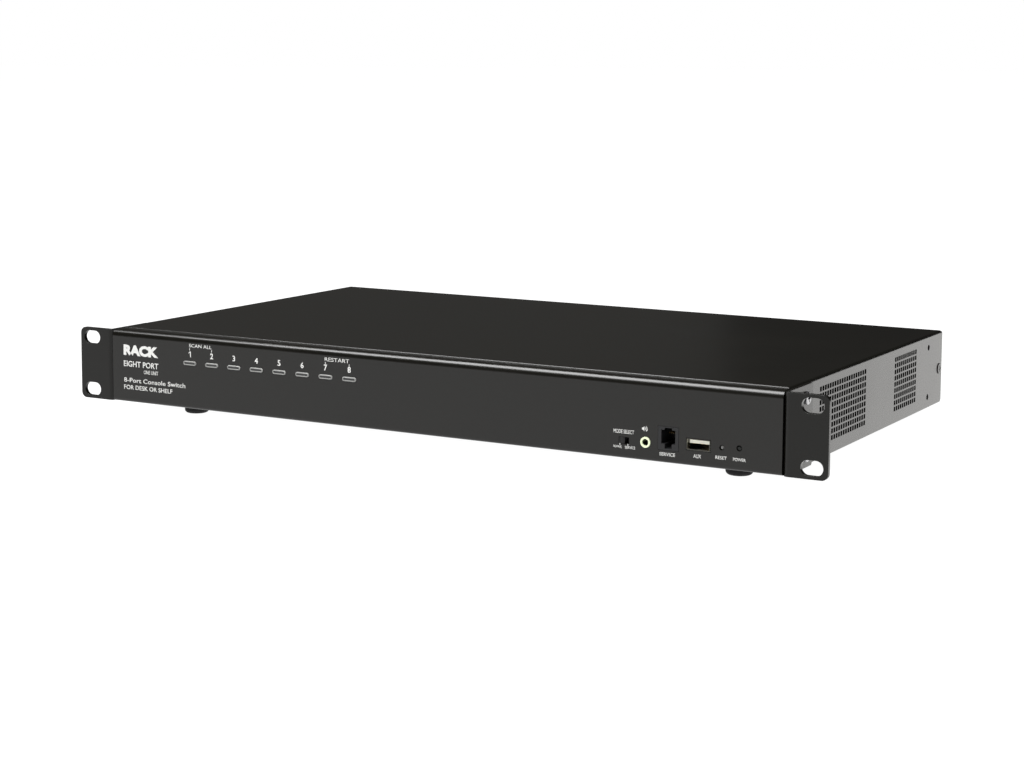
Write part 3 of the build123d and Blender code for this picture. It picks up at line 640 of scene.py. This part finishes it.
def speaker_sign(shape, place):
    """Loudspeaker sign over the audio socket."""
    at = middle("audio_collar")
    here = place @ Matrix.Translation((at.x - 0.8 * MM, 16.9 * MM, 0))
    cone = [(-1.3, -0.5), (-0.7, -0.5), (0.1, -1.3), (0.1, 1.3), (-0.7, 0.5), (-1.3, 0.5)]
    prism(shape, [(x * MM, y * MM) for x, y in cone], INK_DEPTH, here)
    for radius in (0.75, 1.5):
        prism(shape, arc_band(radius * MM, (radius + 0.36) * MM, -48, 48), INK_DEPTH, here)


class SWITCH_OT_front_print(bpy.types.Operator):
    """Print the words, numbers and signs on the front panel"""
    bl_idname = "switch.front_print"
    bl_label = "Front print"

    def execute(self, context):
        marks = context.scene.switch_print
        white = ink("white_ink", marks.ink)
        place = front_sheet()
        groups = {name: bmesh.new() for name in ("product_print", "port_numbers", "socket_names")}
        product_print(groups["product_print"], marks, place)
        port_numbers(groups["port_numbers"], marks, place)
        pair_print(groups["port_numbers"], place, 1, "SCAN ALL", 36.9 * MM, 2.0 * MM)
        pair_print(groups["port_numbers"], place, 7, "RESTART", 36.4 * MM, 2.2 * MM)
        names = groups["socket_names"]
        slide_switch_print(names, place)
        speaker_sign(names, place)
        label(names, "SERVICE", "modular_jack", -0.45, 3.7, (8.9, 1.85), place)
        label(names, "AUX", "type_a_shell", -0.5, 4.45, (4.3, 1.95), place)
        label(names, "RESET", "reset_button", -0.2, 5.15, (6.15, 1.7), place)
        label(names, "POWER", "power_lamp", 0.2, 5.2, (6.95, 1.6), place)
        for name, shape in groups.items():
            piece(name, mesh_from(shape), "case", white)
        return {"FINISHED"}


# ---- key shade plates, painted shade ------------------------------------------------------------------
class SWITCH_OT_button_inlays(bpy.types.Operator):
    """Set a dark plate of painted shade into the recessed face of each push button, for the dark inside
    seen through the key
    """
    bl_idname = "switch.button_inlays"
    bl_label = "Key shade plates"

    def execute(self, context):
        # Painted shade: a near-black glossy plate fills each key's recess.
        dark = moulded("shade_plate_plastic", (0.006, 0.006, 0.006), 0.3, coat=0.5)
        recess, length, height, thickness = 0.59 * MM, 7.9 * MM, 1.15 * MM, 0.12 * MM
        for number in PORTS:
            low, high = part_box(f"port_button_{number}")
            at = (low + high) / 2
            place = Matrix.Translation((at.x, low.y + recess, at.z)) @ facing(True)
            shape = bmesh.new()
            prism(shape, obround(length, height), thickness, place)
            piece(f"button_shade_plate_{number}", mesh_from(shape), f"button_{number}", dark)
        return {"FINISHED"}


# ---- rear print ---------------------------------------------------------------------------------------
def rear_numbers(shape, place):
    """The number of each computer port, with a line under it, over its pair of sockets."""
    low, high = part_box("type_b_shells")
    step = (high.x - low.x - TYPE_B_SHELL) / (len(PORTS) - 1)
    aside = 8 * MM
    for number in PORTS:
        x = low.x + TYPE_B_SHELL / 2 + (number - 1) * step - aside
        lettering(shape, str(number), -x, 24.0 * MM, 3.0 * MM, place, align="centre", weight=0.02)
        bar(shape, -x, 22.2 * MM, 26 * MM, 0.35 * MM, INK_DEPTH, place)


class SWITCH_OT_rear_print(bpy.types.Operator):
    """Print the port numbers and plain words on the rear panel and the rocker"""
    bl_idname = "switch.rear_print"
    bl_label = "Rear print"

    def execute(self, context):
        white = ink("rear_ink", context.scene.switch_print.ink)
        place = rear_sheet()
        shape = bmesh.new()
        rear_numbers(shape, place)
        console = middle("console_type_a_shells").x
        lettering(shape, "CONSOLE", -console, 28.0 * MM, 2.4 * MM, place, 16 * MM, "centre", 0.01)
        bar(shape, -console, 26.4 * MM, 58 * MM, 0.35 * MM, INK_DEPTH, place)
        piece("rear_print", mesh_from(shape), "case", white)
        self.rocker_marks(white)
        return {"FINISHED"}

    def rocker_marks(self, white):
        """A line and a ring on the two ends of the rocker's hollow face, each leaning with its end."""
        joint = next(j for j in frame["joints"] if j["child"] == "rocker")
        rest_tilt, lean, reach, depth = 10, 20.5, 5.6 * MM, 0.2 * MM
        tilt = Matrix.Rotation(math.radians(-rest_tilt), 4, "Z")
        face = Matrix.Translation((0, 3.87 * MM, 0)) @ facing(False)
        middle_place = Matrix.Translation(joint["pos_m"]) @ tilt @ face
        ring, line = [
            middle_place @ Matrix.Translation((side * reach, 0, 0))
            @ Matrix.Rotation(math.radians(-side * lean), 4, "Y")
            for side in (-1, 1)
        ]
        shape = bmesh.new()
        for half in (0, 180):
            prism(shape, arc_band(1.0 * MM, 1.45 * MM, half, half + 180, 12), depth, ring)
        bar(shape, 0, 0, 0.5 * MM, 3.0 * MM, depth, line)
        piece("rocker_marks", mesh_from(shape), "rocker", white)


# ---- repeated small parts, by geometry nodes ----------------------------------------------------------
def node_group(name, sockets):
    """An empty geometry node group with these inputs, and a geometry output."""
    group = bpy.data.node_groups.new(name, "GeometryNodeTree")
    for title, kind, default in sockets:
        socket = group.interface.new_socket(title, in_out="INPUT", socket_type=kind)
        if default is not None:
            socket.default_value = default
    group.interface.new_socket("Geometry", in_out="OUTPUT", socket_type="NodeSocketGeometry")
    return group


def wire(group, kind, **inputs):
    """A node of a group, with its inputs linked or set. A name such as i0 picks an input by its place."""
    made = group.nodes.new(kind)
    for name, value in inputs.items():
        key = int(name[1:]) if name[0] == "i" and name[1:].isdigit() else name.replace("_", " ")
        socket = made.inputs[key]
        if isinstance(value, bpy.types.NodeSocket):
            group.links.new(value, socket)
        else:
            socket.default_value = value
    return made


def scatter_group():
    """Small boxes on a grid of places: some places stay empty, and sizes and turns vary with the seed."""
    group = node_group("board_scatter", [
        ("Width", "NodeSocketFloat", 0.1), ("Depth", "NodeSocketFloat", 0.1),
        ("Columns", "NodeSocketInt", 10), ("Rows", "NodeSocketInt", 10),
        ("Part", "NodeSocketVector", (0.002, 0.001, 0.001)), ("Fill", "NodeSocketFloat", 0.5),
        ("Centre", "NodeSocketVector", (0.0, 0.0, 0.0)), ("Seed", "NodeSocketInt", 1),
        ("Finish", "NodeSocketMaterial", None),
    ])
    given = group.nodes.new("NodeGroupInput").outputs
    grid = wire(
        group, "GeometryNodeMeshGrid", Size_X=given["Width"], Size_Y=given["Depth"],
        Vertices_X=given["Columns"], Vertices_Y=given["Rows"],
    ).outputs["Mesh"]
    centred = wire(group, "GeometryNodeTransform", Geometry=grid, Translation=given["Centre"])
    chance = wire(group, "FunctionNodeRandomValue", Seed=given["Seed"])
    kept = wire(group, "FunctionNodeCompare", A=chance.outputs[1], B=given["Fill"])
    kept.operation = "LESS_THAN"
    points = wire(group, "GeometryNodeMeshToPoints", Mesh=centred.outputs[0], Selection=kept.outputs[0])
    part = wire(group, "GeometryNodeMeshCube", Size=given["Part"]).outputs["Mesh"]
    raised = wire(group, "ShaderNodeSeparateXYZ", Vector=given["Part"])
    half = wire(group, "ShaderNodeMath", i0=raised.outputs["Z"], i1=0.5)
    half.operation = "MULTIPLY"
    lift = wire(group, "ShaderNodeCombineXYZ", Z=half.outputs[0])
    standing = wire(group, "GeometryNodeTransform", Geometry=part, Translation=lift.outputs[0])
    size = wire(group, "FunctionNodeRandomValue", Seed=given["Seed"])
    size.data_type = "FLOAT_VECTOR"
    size.inputs[0].default_value = (0.6, 0.7, 0.5)
    size.inputs[1].default_value = (1.5, 1.3, 1.4)
    quarter = wire(group, "FunctionNodeRandomValue", Seed=given["Seed"])
    quarter.data_type = "INT"
    quarter.inputs[4].default_value = 0
    quarter.inputs[5].default_value = 1
    turn = wire(group, "ShaderNodeMath", i0=quarter.outputs[2], i1=math.pi / 2)
    turn.operation = "MULTIPLY"
    heading = wire(group, "ShaderNodeCombineXYZ", Z=turn.outputs[0])
    placed = wire(
        group, "GeometryNodeInstanceOnPoints", Points=points.outputs[0], Instance=standing.outputs[0],
        Rotation=heading.outputs[0], Scale=size.outputs[0],
    )
    return finish_group(group, placed.outputs[0], given["Finish"])


def pin_group():
    """Rows of straight pins: pins in a row, rows in a group, and groups along X."""
    group = node_group("pin_rows", [
        ("Pins", "NodeSocketInt", 4), ("Pitch", "NodeSocketFloat", 0.001),
        ("Rows", "NodeSocketInt", 1), ("Row Step", "NodeSocketVector", (0.0, 0.0, 0.001)),
        ("Groups", "NodeSocketInt", 1), ("Group Pitch", "NodeSocketFloat", 0.01),
        ("Pin", "NodeSocketVector", (0.0003, 0.004, 0.0002)),
        ("Start", "NodeSocketVector", (0.0, 0.0, 0.0)), ("Finish", "NodeSocketMaterial", None),
    ])
    given = group.nodes.new("NodeGroupInput").outputs
    pin = wire(group, "GeometryNodeMeshCube", Size=given["Pin"]).outputs["Mesh"]
    across = wire(group, "ShaderNodeCombineXYZ", X=given["Pitch"]).outputs[0]
    row = repeat(group, pin, given["Pins"], across)
    block = repeat(group, row, given["Rows"], given["Row Step"])
    along = wire(group, "ShaderNodeCombineXYZ", X=given["Group Pitch"]).outputs[0]
    whole = repeat(group, block, given["Groups"], along)
    moved = wire(group, "GeometryNodeTransform", Geometry=whole, Translation=given["Start"])
    return finish_group(group, moved.outputs[0], given["Finish"])


def repeat(group, shape, count, step):
    """The shape, instanced along a line of points a step apart."""
    line = wire(group, "GeometryNodeMeshLine", Count=count, Offset=step)
    return wire(group, "GeometryNodeInstanceOnPoints", Points=line.outputs[0], Instance=shape).outputs[0]


def finish_group(group, shape, material):
    """Make a group's instances real, give them their material and send them out."""
    real = wire(group, "GeometryNodeRealizeInstances", Geometry=shape)
    painted = wire(group, "GeometryNodeSetMaterial", Geometry=real.outputs[0], Material=material)
    output = group.nodes.new("NodeGroupOutput")
    group.links.new(painted.outputs[0], output.inputs[0])
    return group


def grown(name, group, body, values):
    """Run a node group with these values and keep its result as a plain mesh that rides on a body."""
    seed_mesh = bpy.data.meshes.new(name)
    maker = bpy.data.objects.new(name + "_maker", seed_mesh)
    bpy.context.scene.collection.objects.link(maker)
    modifier = maker.modifiers.new("grow", "NODES")
    modifier.node_group = group
    for item in group.interface.items_tree:
        if item.in_out == "INPUT" and item.name in values:
            modifier[item.identifier] = values[item.name]
    bpy.context.view_layer.update()
    mesh = bpy.data.meshes.new_from_object(maker.evaluated_get(bpy.context.evaluated_depsgraph_get()))
    bpy.data.objects.remove(maker)
    if not mesh.polygons:
        raise RuntimeError(f"{name} came out empty")
    return piece(name, mesh, body)


class SWITCH_OT_board_parts(bpy.types.Operator):
    """Fill the circuit boards with small parts"""
    bl_idname = "switch.board_parts"
    bl_label = "Board parts"

    def execute(self, context):
        layout = context.scene.switch_boards
        group = scatter_group()
        ceramic = moulded("ceramic_part", (0.30, 0.22, 0.14), 0.4)
        resistor = moulded("film_part", (0.02, 0.02, 0.02), 0.35)
        low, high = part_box("main_board")
        edge = 6 * MM
        values = {
            "Part": (1.6 * MM, 0.8 * MM, 0.7 * MM), "Fill": layout.fill,
            "Width": high.x - low.x - 2 * edge, "Depth": 90 * MM,
            "Columns": layout.columns, "Rows": layout.rows,
            "Centre": ((low.x + high.x) / 2, low.y + 56 * MM, high.z),
        }
        for index, material in enumerate((ceramic, resistor)):
            values.update({"Seed": layout.seed + index, "Finish": material})
            grown(f"small_parts_{index + 1}", group, "case", values)
        return {"FINISHED"}


def pin_layout(centre, pins, pitch, row_step, pin, port_step):
    """Inputs of the pin rows: two rows about the first socket's centre, repeated at every port."""
    x, y, z = centre
    return {
        "Pins": pins, "Pitch": pitch, "Rows": 2, "Row Step": (0, 0, row_step), "Pin": pin,
        "Groups": len(PORTS), "Group Pitch": port_step,
        "Start": (x - (pins - 1) * pitch / 2, y, z - row_step / 2),
    }


class SWITCH_OT_socket_pins(bpy.types.Operator):
    """Line the rear sockets with their contacts"""
    bl_idname = "switch.socket_pins"
    bl_label = "Socket pins"

    def execute(self, context):
        group = pin_group()
        gold = plated("pin_gold", (0.86, 0.63, 0.25), 0.25)
        low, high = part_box("type_b_tongues")
        step = (high.x - low.x - TYPE_B_TONGUE) / (len(PORTS) - 1)
        first = low.x + TYPE_B_TONGUE / 2
        video = (first - VIDEO_OFFSET, high.y - 4.6 * MM, middle("video_tongues").z)
        type_b = (first, high.y - 5 * MM, middle("type_b_tongues").z)
        video_pin = (0.45 * MM, 7 * MM, 0.12 * MM)
        type_b_pin = (1.0 * MM, 8 * MM, 0.14 * MM)
        rows = {
            "video_contacts": pin_layout(video, 10, 1.0 * MM, 1.05 * MM, video_pin, step),
            "type_b_contacts": pin_layout(type_b, 2, 2.5 * MM, 3.25 * MM, type_b_pin, step),
        }
        for name, values in rows.items():
            grown(name, group, "case", {**values, "Finish": gold})
        return {"FINISHED"}


# ---- stage --------------------------------------------------------------------------------------------
def plain_emitter(name, colour, strength):
    """A material that only glows."""
    material = bpy.data.materials.new(name)
    material.use_nodes = True
    tree = material.node_tree
    tree.nodes.clear()
    glow = tree.nodes.new("ShaderNodeEmission")
    glow.inputs["Color"].default_value = (*colour, 1)
    glow.inputs["Strength"].default_value = strength
    output = tree.nodes.new("ShaderNodeOutputMaterial")
    tree.links.new(glow.outputs[0], output.inputs["Surface"])
    return material


def stage_object(name, mesh, material, **visible):
    """An object of the stage. Each named kind of ray may be told not to see it."""
    thing = bpy.data.objects.new(name, mesh)
    bpy.context.scene.collection.objects.link(thing)
    mesh.materials.append(material)
    for ray, shown in visible.items():
        setattr(thing, f"visible_{ray}", shown)
    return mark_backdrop(thing)


def floor(size):
    """A pale floor that glows as an evenly lit table does."""
    shape = bmesh.new()
    bmesh.ops.create_grid(shape, x_segments=4, y_segments=4, size=size)
    made = Finish("pale_floor", Roughness=0.9, Specular_IOR_Level=0.0)
    made.shader.inputs["Base Color"].default_value = (0.1, 0.1, 0.1, 1)
    made.shader.inputs["Emission Color"].default_value = (1, 1, 1, 1)
    made.shader.inputs["Emission Strength"].default_value = 1.0
    return stage_object("floor", mesh_from(shape), made.material)


def backdrop(radius):
    """A pale dome behind everything, seen only by the camera."""
    shape = bmesh.new()
    bmesh.ops.create_uvsphere(shape, u_segments=48, v_segments=24, radius=radius)
    white = plain_emitter("backdrop_white", (1, 1, 1), 1.0)
    return stage_object("backdrop", mesh_from(shape), white, glossy=False, diffuse=False, shadow=False)


def glow_card(name, corners, strength):
    """A bright flat card seen only in reflections."""
    shape = bmesh.new()
    shape.faces.new([shape.verts.new(corner) for corner in corners])
    warm_white = (1.0, 0.99, 0.97)
    card = plain_emitter(name + "_light", warm_white, strength)
    return stage_object(name, mesh_from(shape), card, camera=False, diffuse=False, shadow=False)


def softbox(name, place, target, width, height, power):
    """A white rectangular lamp that faces a target."""
    lamp = bpy.data.lights.new(name, "AREA")
    lamp.shape = "RECTANGLE"
    lamp.size = width
    lamp.size_y = height
    lamp.energy = power
    thing = bpy.data.objects.new(name, lamp)
    bpy.context.scene.collection.objects.link(thing)
    thing.location = place
    thing.rotation_euler = (Vector(target) - Vector(place)).to_track_quat("-Z", "Y").to_euler()
    return thing


def camera(stage):
    """A camera that looks along its heading, tilted down, with a slight roll."""
    sensor = bpy.data.cameras.new("camera")
    sensor.lens = stage.lens
    sensor.sensor_width = 36.0
    sensor.shift_y = stage.shift
    sensor.clip_end = 100.0
    thing = bpy.data.objects.new("camera", sensor)
    bpy.context.scene.collection.objects.link(thing)
    level = Matrix.Rotation(stage.heading, 4, "Z") @ Matrix.Rotation(math.pi / 2 - stage.tilt, 4, "X")
    place = Vector(stage.camera) + Vector((0, FRONT_FACE, CASE_FLOOR))
    thing.matrix_world = Matrix.Translation(place) @ level @ Matrix.Rotation(stage.roll, 4, "Z")
    bpy.context.scene.camera = thing


class SWITCH_OT_stage(bpy.types.Operator):
    """Set up the floor, the backdrop, the lights and the camera"""
    bl_idname = "switch.stage"
    bl_label = "Stage"

    def execute(self, context):
        stage = context.scene.switch_stage
        world = bpy.data.worlds.new("studio")
        world.use_nodes = True
        sky = world.node_tree.nodes["Background"]
        sky.inputs["Color"].default_value = (1, 1, 1, 1)
        sky.inputs["Strength"].default_value = SKY_LIGHT
        context.scene.world = world
        context.scene.view_settings.view_transform = "Standard"
        floor(FLOOR_REACH)
        backdrop(DOME_RADIUS)
        flat = [(0.218, -0.09), (2.5, -0.6), (3.0, 3.5), (0.218, 3.5)]
        glow_card("side_card", [(x, y, CARD_LIFT) for x, y in flat], stage.side)
        upright = [(-7.0, 0.0), (-1.6, 0.0), (-1.6, 2.5), (-7.0, 2.5)]
        glow_card("rear_card", [(x, 4.0, z) for x, z in upright], stage.rear)
        softbox("overhead", (-0.4, -0.75, 2.0), (0, 0, 0), width=2.4, height=1.25, power=stage.key)
        camera(stage)
        return {"FINISHED"}


class SWITCH_PT_panel(bpy.types.Panel):
    """Lists the operators that build the switch"""
    bl_label = "Console Switch"
    bl_idname = "SWITCH_PT_panel"
    bl_space_type = "VIEW_3D"
    bl_region_type = "UI"
    bl_category = "Console Switch"

    def draw(self, context):
        for operator in OPERATORS:
            self.layout.operator(operator.bl_idname)


OPERATORS = [
    SWITCH_OT_stage, SWITCH_OT_finishes, SWITCH_OT_front_print, SWITCH_OT_button_inlays,
    SWITCH_OT_rear_print, SWITCH_OT_board_parts, SWITCH_OT_socket_pins,
]


def register():
    for cls in (*SETTINGS.values(), *OPERATORS, SWITCH_PT_panel):
        bpy.utils.register_class(cls)
    for name, settings in SETTINGS.items():
        setattr(bpy.types.Scene, name, PointerProperty(type=settings))


def unregister():
    for name in SETTINGS:
        delattr(bpy.types.Scene, name)
    for cls in reversed((*SETTINGS.values(), *OPERATORS, SWITCH_PT_panel)):
        bpy.utils.unregister_class(cls)


def main():
    register()
    for operator in OPERATORS:
        group, name = operator.bl_idname.split(".")
        if getattr(getattr(bpy.ops, group), name)() != {"FINISHED"}:
            raise RuntimeError(f"{operator.bl_label} did not finish")


if __name__ == "__main__":
    main()
